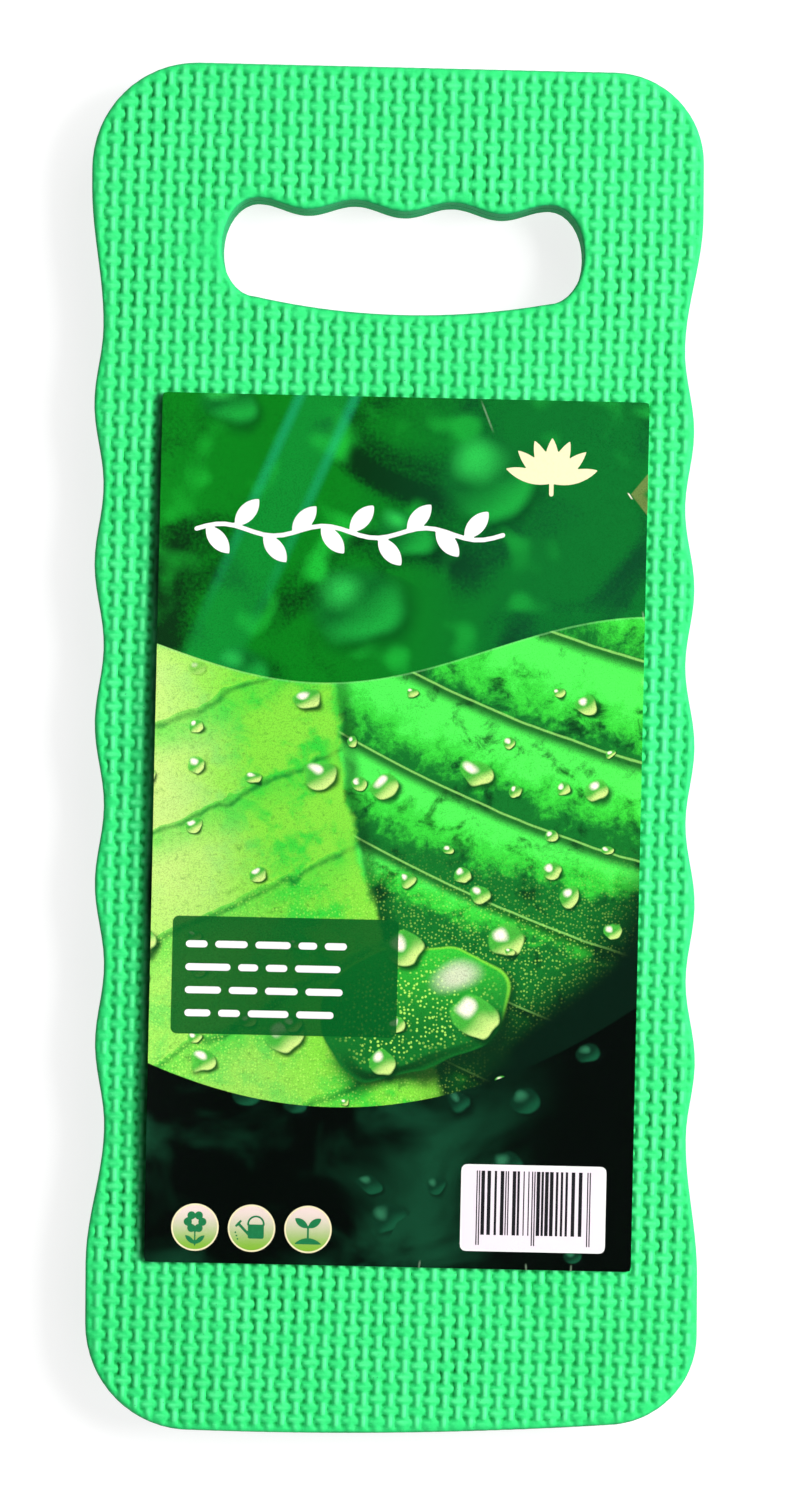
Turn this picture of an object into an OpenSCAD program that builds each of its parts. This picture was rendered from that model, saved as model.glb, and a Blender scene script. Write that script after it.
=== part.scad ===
// Garden kneeling pad: two die-cut foam sheets bonded back to back, with a printed label on the kneeling face.
// Millimetres. The origin is at the centre of the ground face, +Y points to the handle end and +Z is up.

/* [Pad] */
// Length of the pad along its middle
pad_length = 375; // [340:1:420]
// Width of the pad across its end lobes
pad_width = 168; // [150:1:200]
// Thickness of the two foam sheets together
pad_thickness = 15; // [10:0.5:25]
// Share of the thickness that the top foam sheet takes
top_sheet_share = 0.5; // [0.3:0.05:0.7]
// Radius of the two left corners
left_corner_radius = 29.5; // [20:0.5:34]
// Radius of the two right corners
right_corner_radius = 24.5; // [20:0.5:34]
// How far the foot end bows out at its middle
foot_end_bow = 1.4; // [0:0.1:4]
// How much shorter the right side is cut than the left, as a share of the length
cutting_skew = 0.016; // [0:0.002:0.03]

/* [Scalloped sides] */
// Number of shallow notches down each long side
notch_count = 6; // [3:1:8]
// Depth of a notch below the bulges beside it
notch_depth = 2.5; // [1:0.1:5]
// How far the bulges stand back from the end lobes
bulge_setback = 1.6; // [0:0.1:4]
// Distance from each end of the pad to the outermost notch
end_notch_distance = 78.5; // [74:0.5:90]
// Shift of the notches towards the handle end
notch_row_shift = 4; // [-5:0.5:5]
// How much further than that the left row is shifted, and the right row less far
notch_row_stagger = 2.5; // [0:0.5:3]
// Lean of the rows: how much deeper the right one gets towards the handle end, and the left one shallower
notch_row_lean = 0.007; // [0:0.001:0.012]
// Straight stretch left between a corner and the first notch's run-out
lobe_flat = 11; // [8:0.5:12]

/* [Hand hole] */
// Width of the hand hole
hole_width = 99.5; // [86:0.5:110]
// Height of the hand hole at its rounded ends
hole_height = 27.2; // [22:0.2:30]
// Length of each rounded end, from its tip to the outermost finger recess
hole_end_length = 9.5; // [7:0.5:13]
// Number of finger recesses in the handle side of the hole
finger_count = 4; // [3:1:5]
// Depth of the finger recesses between their humps
finger_depth = 2.9; // [1:0.1:4]
// How far the lower edge bows out at its middle
lower_edge_bow = 4; // [0:0.5:6]
// Thickness of the foam between the hand hole and the end of the pad
handle_bar_height = 36.8; // [30:0.2:50]
// Sideways place of the hole's centre
hole_shift = 1.5; // [-4:0.5:4]
// Turn of the hole, clockwise from above, in degrees
hole_turn = 1.2; // [0:0.1:2]

/* [Label] */
// Width of the label
label_width = 133.5; // [100:0.5:140]
// Height of the label
label_height = 238.5; // [180:0.5:240]
// Radius of the label's corners
label_corner_radius = 0.9; // [0.3:0.1:6]
// Sideways place of the label's centre
label_shift_x = 0.8; // [-4:0.1:4]
// Distance of the label's centre from the pad's centre, towards the foot end
label_shift_y = 22.5; // [20:0.1:28]
// Turn of the label on the pad, clockwise from above, in degrees
label_turn = 0.9; // [0:0.1:2]
// Thickness of the adhesive layer
adhesive_thickness = 0.05; // [0.05:0.01:0.2]
// Thickness of the printed paper
paper_thickness = 0.15; // [0.1:0.01:0.4]
// Thickness of the clear gloss film
film_thickness = 0.05; // [0.05:0.01:0.2]

/* [Hidden] */

corner_steps = 16;
side_steps = 96;
foot_end_steps = 24;
hole_edge_steps = 48;
hole_end_steps = 16;
cut_margin = 1;

half_length = pad_length / 2;
half_width = pad_width / 2;

notch_row_half = half_length - end_notch_distance;
notch_pitch = 2 * notch_row_half / (notch_count - 1);
runout_length = end_notch_distance - max(left_corner_radius, right_corner_radius) - lobe_flat;

bond_height = pad_thickness * (1 - top_sheet_share);

hole_straight_half = hole_width / 2 - hole_end_length;
hole_centre = [hole_shift, half_length - handle_bar_height - hole_height / 2];
finger_pitch = 2 * hole_straight_half / (finger_count - 1);

adhesive_height = pad_thickness;
paper_height = adhesive_height + adhesive_thickness;
film_height = paper_height + paper_thickness;

// A wave that is 1 at every whole turn and 0 halfway between
function wave(turns) = (1 + cos(360 * turns)) / 2;

// Points of an elliptical arc, anticlockwise
function arc_points(centre, radii, from, to, steps) =
    [for (i = [0:steps])
        let (angle = from + (to - from) * i / steps)
        [centre.x + radii.x * cos(angle), centre.y + radii.y * sin(angle)]];

// The same points on the other side of the Y axis, in the opposite order
function mirrored(points) =
    [for (i = [len(points) - 1:-1:0]) [-points[i].x, points[i].y]];

// Depth of a long side below the end lobes at a height y, where side is 1 on the right and -1 on the left
function side_depth(side, y) =
    let (
        along_row = y - notch_row_shift + side * notch_row_stagger,
        past_row = abs(along_row) - notch_row_half,
        lean = side * notch_row_lean * max(-notch_row_half, min(notch_row_half, along_row))
    )
    past_row <= 0
        ? bulge_setback + lean + notch_depth * wave(past_row / notch_pitch)
        : past_row < runout_length
            ? (bulge_setback + lean + notch_depth) * wave(past_row / (2 * runout_length))
            : 0;

// A long side with its two corners, from the foot end to the handle end, drawn as the right one
function half_outline_points(side, radius) =
    let (
        centre_x = half_width - radius,
        foot_y = foot_end_bow + radius - half_length,
        handle_y = half_length - radius
    )
    concat(
        arc_points([centre_x, foot_y], [radius, radius], -90, 0, corner_steps),
        [for (i = [1:side_steps - 1])
            let (y = foot_y + (handle_y - foot_y) * i / side_steps)
            [half_width - side_depth(side, y), y]],
        arc_points([centre_x, handle_y], [radius, radius], 0, 90, corner_steps)
    );

// The bowed foot end, from the left corner to the right one
function foot_end_points() =
    [for (i = [1:foot_end_steps - 1])
        let (
            share = i / foot_end_steps,
            from_middle = 2 * share - 1,
            x = (half_width - right_corner_radius) * share - (half_width - left_corner_radius) * (1 - share)
        )
        [x, foot_end_bow * from_middle * from_middle - half_length]];

// The cutting die leaves the right side a little shorter than the left
function skewed(points) =
    [for (p = points) [p.x, p.y * (1 - cutting_skew * p.x / pad_width)]];

function pad_outline_points() =
    skewed(concat(
        half_outline_points(1, right_corner_radius),
        mirrored(half_outline_points(-1, left_corner_radius)),
        foot_end_points()
    ));

// The bowed lower edge of the hand hole, left to right, around the hole's centre
function hole_lower_points() =
    [for (i = [1:hole_edge_steps - 1])
        let (side = 2 * i / hole_edge_steps - 1)
        [hole_straight_half * side, -hole_height / 2 - lower_edge_bow * (1 - side * side)]];

// The finger recesses, right to left, with a recess at each end of the row
function hole_grip_points() =
    [for (i = [1:hole_edge_steps - 1])
        let (x = hole_straight_half * (1 - 2 * i / hole_edge_steps))
        [x, hole_height / 2 - finger_depth * (1 - wave((x + hole_straight_half) / finger_pitch))]];

function hole_end_points(side, from) =
    arc_points([side * hole_straight_half, 0], [hole_end_length, hole_height / 2], from, from + 180, hole_end_steps);

function hole_outline_points() =
    concat(hole_lower_points(), hole_end_points(1, -90), hole_grip_points(), hole_end_points(-1, 90));

function label_outline_points() =
    let (
        radii = [label_corner_radius, label_corner_radius],
        centre = [label_width / 2 - label_corner_radius, label_height / 2 - label_corner_radius]
    )
    [for (quarter = [0:3])
        let (
            side_x = quarter == 0 || quarter == 3 ? 1 : -1,
            side_y = quarter < 2 ? 1 : -1
        )
        each arc_points([side_x * centre.x, side_y * centre.y], radii, 90 * quarter, 90 * (quarter + 1), 8)];

// A foam sheet with the outer outline and the hand hole cut through it
module foam_sheet(bottom, thickness) {
    translate([0, 0, bottom])
        difference() {
            linear_extrude(thickness)
                polygon(pad_outline_points());
            translate([hole_centre.x, hole_centre.y, -cut_margin])
                rotate([0, 0, -hole_turn])
                    linear_extrude(thickness + 2 * cut_margin)
                        polygon(hole_outline_points());
        }
}

// One layer of the label, at its place and turn on the kneeling face
module label_layer(bottom, thickness) {
    translate([label_shift_x, -label_shift_y, bottom])
        rotate([0, 0, -label_turn])
            linear_extrude(thickness)
                polygon(label_outline_points());
}

module bottom_foam_sheet() {
    color([0.16, 0.72, 0.40])
        foam_sheet(0, bond_height);
}

module top_foam_sheet() {
    color([0.28, 0.88, 0.52])
        foam_sheet(bond_height, pad_thickness - bond_height);
}

module label_adhesive() {
    color([0.90, 0.88, 0.78])
        label_layer(adhesive_height, adhesive_thickness);
}

module label_paper() {
    color([0.05, 0.35, 0.14])
        label_layer(paper_height, paper_thickness);
}

module label_film() {
    color([0.75, 0.92, 0.80, 0.35])
        label_layer(film_height, film_thickness);
}

bottom_foam_sheet();
top_foam_sheet();
label_adhesive();
label_paper();
label_film();
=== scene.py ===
import math

import bpy
import numpy as np
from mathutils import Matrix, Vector, geometry


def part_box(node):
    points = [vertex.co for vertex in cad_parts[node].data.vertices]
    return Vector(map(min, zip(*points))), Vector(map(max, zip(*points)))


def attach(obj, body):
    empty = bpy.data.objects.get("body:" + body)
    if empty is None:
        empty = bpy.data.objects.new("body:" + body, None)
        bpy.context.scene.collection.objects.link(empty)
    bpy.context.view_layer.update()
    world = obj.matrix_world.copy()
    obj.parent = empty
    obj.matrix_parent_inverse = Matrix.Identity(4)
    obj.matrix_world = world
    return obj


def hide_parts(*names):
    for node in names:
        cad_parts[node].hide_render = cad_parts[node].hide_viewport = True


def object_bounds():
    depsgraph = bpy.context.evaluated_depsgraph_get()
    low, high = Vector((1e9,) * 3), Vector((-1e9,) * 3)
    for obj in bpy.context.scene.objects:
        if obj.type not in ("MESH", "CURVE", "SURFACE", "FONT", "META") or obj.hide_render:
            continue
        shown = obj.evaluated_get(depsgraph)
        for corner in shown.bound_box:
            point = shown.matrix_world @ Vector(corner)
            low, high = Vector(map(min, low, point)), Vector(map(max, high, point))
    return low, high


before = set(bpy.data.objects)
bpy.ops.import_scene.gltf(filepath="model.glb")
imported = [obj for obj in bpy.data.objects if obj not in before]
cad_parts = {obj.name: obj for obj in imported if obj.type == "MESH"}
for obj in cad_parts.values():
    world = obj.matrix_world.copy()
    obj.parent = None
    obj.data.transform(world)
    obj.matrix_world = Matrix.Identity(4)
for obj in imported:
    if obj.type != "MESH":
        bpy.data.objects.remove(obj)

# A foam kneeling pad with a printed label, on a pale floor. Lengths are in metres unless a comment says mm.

MM = 0.001
SHARP_ANGLE = math.radians(65)

# Foam. The die cuts it out of a big embossed sheet, so the weave runs past the cut edge.
COLUMN_PITCH = 3.69 * MM
ROW_PERIOD = 6.5 * MM
ROW_STRETCH = 0.12  # how much the rows open up towards the handle end, per metre
WEAVE_LEAN = math.radians(-1.2)
WEAVE_DEPTH = 0.95 * MM
RIB_HALF_WIDTH = 1.20 * MM
BAR_HALF_LENGTH = 2.68 * MM
BAR_HALF_HEIGHT = 1.33 * MM
RIM_WIDTH = 1.5 * MM
RIM_DROP = 0.75 * MM
FLATTENED_WIDTH = 3.2 * MM
WALL_RINGS = (0.12, 0.35, 0.60, 0.82, 0.93, 0.97, 1.0)  # shares of the way down from the skin to the bond
WALL_HOLLOW = 0.35 * MM
BOND_GROOVE = 0.35 * MM
BOND_REACH = 0.045  # how far the groove reaches up the wall, as a share of its height
COVERED_INSET = 4 * MM
HIDDEN_SAVING = 0.92  # share of the faces under the label that are merged away
SKIN_DRIFT = 0.06 * MM
WALL_RIPPLE = 0.05 * MM
SCUFF_REACH = 9 * MM
TOP_SAMPLES = (7, 9)  # grid cells to a rib and to a row of the weave
BOTTOM_SAMPLES = (5, 7)

# Label
LABEL_CORNER = 0.9 * MM
LABEL_GRID = 1.5 * MM
REST_GAP = 0.03 * MM
LIFT = 2.4 * MM
LIFT_REACH = 30 * MM
INK = 0.012 * MM
ADHESIVE_INSET = 0.7 * MM
FILM_RAISE = 3.6 * INK  # clears three layers of ink
FILM_THICKNESS = 0.03 * MM

# Camera and floor
PICTURE_HEIGHT = 0.4115
CAMERA_DISTANCE = 1.0
CAMERA_ROLL = math.radians(0.35)
SENSOR = 36  # mm
FLOOR_REACH = 15.0
FLOOR_GAP = 0.3 * MM

cad_low, cad_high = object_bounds()


# ---- Plan shapes: each is a function of points that is positive inside, in metres ----


def cut_loops(node):
    """The outline of a CAD foam sheet, anticlockwise, and its hand hole, clockwise, as loops of points."""
    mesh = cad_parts[node].data
    upper = [face for face in mesh.polygons if face.normal.z > 0.99]
    faces = [[tuple(round(x, 7) for x in mesh.vertices[i].co.xy) for i in face.vertices] for face in upper]
    return [np.array(loop) for loop in rim_loops(rim_of(faces))]


def inside_loops(loops):
    """A plan shape: the distance to the nearest loop, positive between the outline and the hole."""
    starts = np.vstack(loops)
    ends = np.vstack([np.roll(loop, -1, axis=0) for loop in loops])

    def distance(points):
        nearest = np.full(len(points), np.inf)
        inside = np.zeros(len(points), bool)
        x, y = points[:, 0], points[:, 1]
        for (ax, ay), (bx, by) in zip(starts, ends):
            dx, dy = bx - ax, by - ay
            px, py = x - ax, y - ay
            share = np.clip((px * dx + py * dy) / (dx * dx + dy * dy), 0, 1)
            nearest = np.minimum(nearest, (px - share * dx) ** 2 + (py - share * dy) ** 2)
            if ay != by:
                inside ^= ((ay > y) != (by > y)) & (px < py * dx / dy)
        return np.where(inside, 1, -1) * np.sqrt(nearest)

    return distance


def disc(centre, radius):
    return lambda points: radius - np.hypot(*(points - centre).T)


def capsule(start, end, radius):
    start = np.array(start)
    along = np.array(end) - start

    def distance(points):
        offset = points - start
        share = np.clip(offset @ along / (along @ along), 0, 1)
        return radius - np.hypot(*(offset - share[:, None] * along).T)

    return distance


def rounded_box(centre, size, corner):
    inner = np.array(size) / 2 - corner

    def distance(points):
        beyond = np.abs(points - centre) - inner
        return corner - np.hypot(*np.maximum(beyond, 0).T) - np.minimum(beyond.max(axis=1), 0)

    return distance


def leaf(start, end, width):
    """A pointed leaf from tip to tip, where two wide discs overlap."""
    start, end = np.array(start), np.array(end)
    along = end - start
    length = np.hypot(*along)
    radius = (length**2 / 4 + width**2 / 4) / width
    across = np.array([-along[1], along[0]]) / length * (radius - width / 2)
    middle = (start + end) / 2
    return overlap(disc(middle + across, radius), disc(middle - across, radius))


def union(*shapes):
    return lambda points: np.max([shape(points) for shape in shapes], axis=0)


def overlap(*shapes):
    return lambda points: np.min([shape(points) for shape in shapes], axis=0)


def without(shape, *holes):
    return overlap(shape, *[(lambda points, hole=hole: -hole(points)) for hole in holes])


def above(level):
    return lambda points: points[:, 1] - level


# ---- Meshes ----


def onto_edge(points, shape):
    """Moves points that lie near a shape's edge onto it, by two Newton steps."""
    step = 0.01 * MM
    for _ in range(2):
        rises = [shape(points + shift) - shape(points - shift) for shift in np.eye(2) * step]
        slope = np.stack(rises, axis=1) / (2 * step)
        steepness = np.maximum((slope**2).sum(axis=1), 0.01)
        points = points - (shape(points) / steepness)[:, None] * slope
    return points


def clipped_grid(columns, rows, shape, place=None):
    """Cuts a grid of cells to the inside of a plan shape. Returns its points and its anticlockwise faces."""
    grid_x, grid_y = np.meshgrid(columns, rows, indexing="ij")
    points = np.stack([grid_x.ravel(), grid_y.ravel()], axis=1)
    if place:
        points = place(points)
    inner = shape(points)
    cell = min(columns[1] - columns[0], rows[1] - rows[0])
    # Points close to the edge move onto it, so that no sliver is cut
    near = np.abs(inner) < 0.3 * cell
    points[near] = onto_edge(points[near], shape)
    inner[near] = 0

    index = np.arange(len(points)).reshape(grid_x.shape)
    corners = [index[:-1, :-1], index[1:, :-1], index[1:, 1:], index[:-1, 1:]]
    cells = np.stack(corners, axis=-1).reshape(-1, 4)
    value = inner[cells]
    touched = (value > 0).any(axis=1)
    whole = touched & (value >= 0).all(axis=1)
    faces = cells[whole].tolist()
    crossings = {}
    cut_points = []
    for corners in cells[touched & ~whole].tolist():
        ring = []
        for start, end in zip(corners, corners[1:] + corners[:1]):
            if inner[start] >= 0:
                ring.append(start)
            if inner[start] * inner[end] < 0:
                key = (min(start, end), max(start, end))
                if key not in crossings:
                    crossings[key] = len(points) + len(cut_points)
                    share = inner[start] / (inner[start] - inner[end])
                    cut_points.append(points[start] + share * (points[end] - points[start]))
                ring.append(crossings[key])
        if len(ring) > 2:
            faces.append(ring)
    if cut_points:
        points = np.vstack([points, onto_edge(np.array(cut_points), shape)])

    used = sorted({i for face in faces for i in face})
    renumber = dict(zip(used, range(len(used))))
    return points[used], [[renumber[i] for i in face] for face in faces]


def rim_of(faces):
    """The edges with a face on one side only, as a dict from each edge's start to its end."""
    edges = {edge for face in faces for edge in zip(face, face[1:] + face[:1])}
    return {start: end for start, end in edges if (end, start) not in edges}


def rim_loops(rim):
    """The rim's points in order, one list for each closed loop."""
    left = dict(rim)
    loops = []
    while left:
        start = min(left)
        point = left.pop(start)
        loop = [start]
        while point != start:
            loop.append(point)
            point = left.pop(point)
        loops.append(loop)
    return loops


def closed_slab(points, faces, top, bottom):
    """A closed sheet with the given plan and the heights of its two faces. Returns its vertices and faces."""
    count = len(points)
    vertices = np.vstack([np.column_stack([points, top]), np.column_stack([points, bottom])])
    under = [[i + count for i in reversed(face)] for face in faces]
    side = [[end, start, start + count, end + count] for start, end in rim_of(faces).items()]
    return vertices, faces + under + side


def make_piece(name, vertices, faces, material):
    mesh = bpy.data.meshes.new(name)
    mesh.from_pydata(np.asarray(vertices).tolist(), [], faces)
    mesh.validate()
    mesh.polygons.foreach_set("use_smooth", [True] * len(mesh.polygons))
    mesh.set_sharp_from_angle(angle=SHARP_ANGLE)
    mesh.materials.append(material)
    piece = bpy.data.objects.new(name, mesh)
    bpy.context.scene.collection.objects.link(piece)
    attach(piece, "root")
    return piece


def set_attribute(piece, name, values):
    layer = piece.data.attributes.new(name, "FLOAT", "POINT")
    layer.data.foreach_set("value", np.asarray(values, dtype=np.float32))


# ---- Foam sheets ----


def turned(points, angle):
    cosine, sine = math.cos(angle), math.sin(angle)
    return points @ np.array([[cosine, sine], [-sine, cosine]])


def ease(value, low, high):
    """0 below low, 1 above high, and a smooth step between."""
    share = np.clip((value - low) / (high - low), 0, 1)
    return share * share * (3 - 2 * share)


def drift(points, seed, size):
    """Slow random variation between about -1 and 1, from a few waves in random directions."""
    rng = np.random.default_rng(seed)
    total = np.zeros(len(points))
    for _ in range(7):
        heading, phase = rng.uniform(0, 2 * math.pi, 2)
        wave = size * rng.uniform(0.6, 1.8)
        total += np.sin((points @ [math.cos(heading), math.sin(heading)]) * 2 * math.pi / wave + phase)
    return total / 3


def woven_relief(points):
    """Height of the woven emboss: 0 in the pits and 1 on the crests of the ribs."""
    shift = np.stack([drift(points, 1, 40 * MM), drift(points, 2, 40 * MM)], axis=1)
    u, v = turned(points + shift * 0.12 * MM, -WEAVE_LEAN).T
    home = np.round(u / COLUMN_PITCH)
    rib_width, bar_length, bar_height = np.array([RIB_HALF_WIDTH, BAR_HALF_LENGTH, BAR_HALF_HEIGHT]) / MM
    uneven = np.random.default_rng(3).uniform(-1, 1, (60, 80))
    relief = np.zeros(len(points))
    for neighbour in (-1, 0, 1):
        column = home + neighbour
        across = (u - column * COLUMN_PITCH) / MM
        turns = v / ROW_PERIOD * (1 - ROW_STRETCH * v) + 0.5 * (column % 2)
        along = (turns - np.round(turns)) * ROW_PERIOD / MM
        # A round rib up the column, lower where a bar crosses it
        rib = np.clip(1 - (np.abs(across) / rib_width) ** 2.4, 0, 1) ** 0.62
        rib *= 1 - 0.45 * np.exp(-((along / 1.4) ** 4))
        # A bar across it with narrow ends, each of its own height
        unevenness = uneven[column.astype(int) % 60, np.round(turns).astype(int) % 80]
        reach = np.hypot((np.abs(across) / bar_length) ** 1.9, (np.abs(along) / bar_height) ** 1.2)
        bar = (0.82 + 0.07 * unevenness) * np.clip(1 - reach**2.2, 0, 1) ** 0.55 * (1 - 0.04 * across)
        relief = np.maximum(relief, np.maximum(rib, bar))
    return relief


def rim_drop(depth):
    """How far the skin is drawn down at a distance in from the cut edge."""
    share = np.clip(1 - depth / RIM_WIDTH, 0, 1)
    return RIM_DROP * (1 - np.sqrt(1 - share**2))


def inward_normals(points, loops):
    """Unit vectors into the foam for the points of each rim loop, smoothed along it."""
    normals = np.zeros((len(points), 2))
    for loop in loops:
        along = np.roll(points[loop], -4, axis=0) - np.roll(points[loop], 4, axis=0)
        inward = np.stack([-along[:, 1], along[:, 0]], axis=1)
        normals[loop] = inward / np.hypot(*inward.T)[:, None]
    return normals


def scuffs(points, outlines):
    """Where use has flattened the emboss, at the hand hole's left tip, from 0 to 0.8."""
    hole = min(outlines, key=lambda loop: np.ptp(loop[:, 0]))
    tip = hole[np.argmin(hole[:, 0])]
    return 0.8 * np.exp(-((np.hypot(*(points - tip).T) / SCUFF_REACH) ** 2))


def weave_grid(samples):
    """Columns and rows of a grid that is wider than the pad and in step with the weave."""
    lines = []
    reaches = (cad_high.x * 1.06, cad_high.y * 1.03)
    for reach, pitch, steps in zip(reaches, (COLUMN_PITCH, ROW_PERIOD), samples):
        end = math.ceil(reach / pitch) * pitch
        lines.append(np.arange(-end, end, pitch / steps))
    return lines


def pressed_relief(points, depth, outlines):
    """The emboss, flatter along the cut edge, where the cutting press has held the foam down."""
    pressed = 1 - ease(depth, 0.2 * MM, FLATTENED_WIDTH) * (1 - scuffs(points, outlines))
    relief = woven_relief(points)
    return relief + (0.62 - relief) * 0.75 * pressed


def cut_wall(edge_points, inward, start_height, bond):
    """Vertices of the rings down the cut wall, and how deep in the bond's groove each of them lies."""
    rings, seams = [], []
    for ring, share in enumerate(WALL_RINGS):
        height = start_height + (bond - start_height) * share
        seam = math.exp(-(((1 - share) / BOND_REACH) ** 2))
        ripple = WALL_RIPPLE * drift(edge_points + 0.01 * ring, 9, 9 * MM)
        inset = WALL_HOLLOW * math.sin(math.pi * share) + BOND_GROOVE * seam + ripple
        rings.append(np.column_stack([edge_points + inward * inset[:, None], height]))
        seams += [seam] * len(edge_points)
    return rings, np.array(seams)


def bonded_face(vertices, loops):
    """The flat face between the outline and the hand hole, as triangles that face down."""
    order = [i for loop in loops for i in loop]
    faces = []
    for triangle in geometry.tessellate_polygon([[Vector(vertices[i]) for i in loop] for loop in loops]):
        corners = [order[i] for i in triangle]
        a, b, c = (vertices[i][:2] for i in corners)
        turn = (b[0] - a[0]) * (c[1] - a[1]) - (b[1] - a[1]) * (c[0] - a[0])
        faces.append(corners if turn < 0 else corners[::-1])
    return faces


def foam_sheet(node, outer, bond, samples, material):
    """One foam sheet: the embossed skin at height outer, the cut walls, and the flat bonded face."""
    outlines = cut_loops(node)
    shape = inside_loops(outlines)
    points, skin = clipped_grid(*weave_grid(samples), shape, lambda grid: turned(grid, WEAVE_LEAN))
    depth = np.maximum(shape(points), 0)
    relief = pressed_relief(points, depth, outlines)
    sink = WEAVE_DEPTH * (1 - relief) + rim_drop(depth) + SKIN_DRIFT * (1 + drift(points, 5, 90 * MM))
    upward = outer > bond
    height = outer - np.maximum(sink, 0) * (1 if upward else -1)

    rim = rim_of(skin)
    loops = rim_loops(rim)
    edge = [point for loop in loops for point in loop]
    position = dict(zip(edge, range(len(edge))))
    wall, seams = cut_wall(points[edge], inward_normals(points, loops)[edge], height[edge], bond)
    vertices = np.vstack([np.column_stack([points, height]), *wall])
    rings = [edge] + np.arange(len(points), len(vertices)).reshape(len(wall), -1).tolist()
    faces = list(skin)
    for upper, lower in zip(rings, rings[1:]):
        for start, end in rim.items():
            a, b = position[start], position[end]
            faces.append([upper[b], upper[a], lower[a], lower[b]])
    faces += bonded_face(vertices, [[rings[-1][position[point]] for point in loop] for loop in loops])
    if not upward:
        faces = [face[::-1] for face in faces]

    piece = make_piece(node.replace("_sheet", ""), vertices, faces, material)
    set_attribute(piece, "relief", np.concatenate([relief, 0.5 - 0.5 * seams]))
    set_attribute(piece, "wall", np.concatenate([ease(-depth, -0.5 * MM, 0), np.ones(len(seams))]))
    # Painted shadow beside the label's lifted left edge, kept as an attribute for the foam's colour
    set_attribute(piece, "painted_edge_shadow", painted_edge_shadow(vertices))
    if upward:
        thin_out(piece, covered(vertices))
    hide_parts(node)
    return piece


def covered(vertices):
    """Whether each vertex of the upper skin lies well under the label, where nobody sees the emboss."""
    inset = rounded_box((0, 0), (label.width, label.height), LABEL_CORNER)(label.to_label(vertices[:, :2]))
    return (inset > COVERED_INSET) & (vertices[:, 2] > CREST - 2 * WEAVE_DEPTH)


def painted_edge_shadow(vertices):
    """Painted shadow on the upper skin along the label's lifted left edge, from 0 to 1. It darkens the shadow
    that the lifted edge casts.
    """
    p, q = label.to_label(vertices[:, :2]).T
    outside = -label.width / 2 - p
    beyond_ends = np.abs(q) - label.height / 2
    amount = ease(outside, -8 * MM, -4 * MM) * (1 - ease(outside, 0.6 * MM, 3.5 * MM))
    amount *= 1 - ease(beyond_ends, -1.5 * MM, 0.5 * MM)
    amount *= 0.85 + 0.15 * drift(vertices[:, :2], 31, 25 * MM)
    return np.where(vertices[:, 2] > CREST - 2 * WEAVE_DEPTH, amount, 0)


def thin_out(piece, hidden):
    """Merges most of the faces around the hidden vertices."""
    group = piece.vertex_groups.new(name="hidden")
    group.add(np.flatnonzero(hidden).tolist(), 1.0, "REPLACE")
    modifier = piece.modifiers.new("thin_out", "DECIMATE")
    modifier.vertex_group = group.name
    modifier.ratio = 1 - HIDDEN_SAVING * hidden.mean()
    evaluated = piece.evaluated_get(bpy.context.evaluated_depsgraph_get())
    mesh = bpy.data.meshes.new_from_object(evaluated)
    piece.modifiers.remove(modifier)
    piece.vertex_groups.remove(group)
    piece.data = mesh


# ---- Label ----


class LabelPlan:
    """The label's place on the pad, read from its CAD paper. Its own plan runs p across and q up."""

    def __init__(self):
        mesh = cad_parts["label_paper"].data
        side = max(mesh.polygons, key=lambda face: face.area if face.normal.x > 0.9 else 0)
        self.turn = math.atan2(side.normal.y, side.normal.x)
        low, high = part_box("label_paper")
        self.centre = np.array((low + high)[:2]) / 2
        plan = self.to_label(np.array([vertex.co[:2] for vertex in mesh.vertices]))
        self.width, self.height = np.ptp(plan, axis=0)

    def to_label(self, points):
        return turned(points - self.centre, -self.turn)

    def to_pad(self, points):
        return turned(points, self.turn) + self.centre


label = LabelPlan()
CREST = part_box("top_foam_sheet")[1].z

# Small wrinkles in the label's edge: place in its plan, heading in degrees, length and height, in mm
WRINKLES = (
    ((8.7, -118.7), 82, 3.0, 0.30),
    ((38.0, -118.7), 96, 2.4, 0.35),
    ((50.3, -118.7), 88, 2.2, 0.25),
    ((66.3, 60.5), 100, 3, 0.2),
    ((22.3, 114.5), -68, 9, 0.18),
)

# The right edge's dog-ear: its place up the edge and its depth, in mm
DOG_EAR = (94.0, 4.8)


def label_lift(plan):
    """Height of the label above the crests of the emboss. The left edge has come unstuck and curls up."""
    p, q = plan.T
    share = np.clip(1 - (p + label.width / 2) / LIFT_REACH, 0, 1)
    middle = 1 - 0.72 * np.abs(q / (label.height / 2)) ** 5
    lift = LIFT * share**2.4 * middle * (1 + 0.08 * np.sin(q / (17 * MM)))
    lift += 0.07 * MM * (1 + drift(plan, 21, 60 * MM))
    for (x, y), heading, length, height in WRINKLES:
        direction = np.array([math.cos(math.radians(heading)), math.sin(math.radians(heading))])
        offset = plan / MM - (x, y)
        along = offset @ direction
        across = offset @ (-direction[1], direction[0])
        lift += height * MM * np.exp(-((across / 0.9) ** 2) - (along / length) ** 2 * 2)
    ear_height, ear_depth = DOG_EAR
    fold = (p - label.width / 2) / MM + ear_depth - 0.8 * np.abs(q / MM - ear_height)
    lift += 0.14 * MM * np.clip(fold, 0, None)
    return REST_GAP + lift


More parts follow.
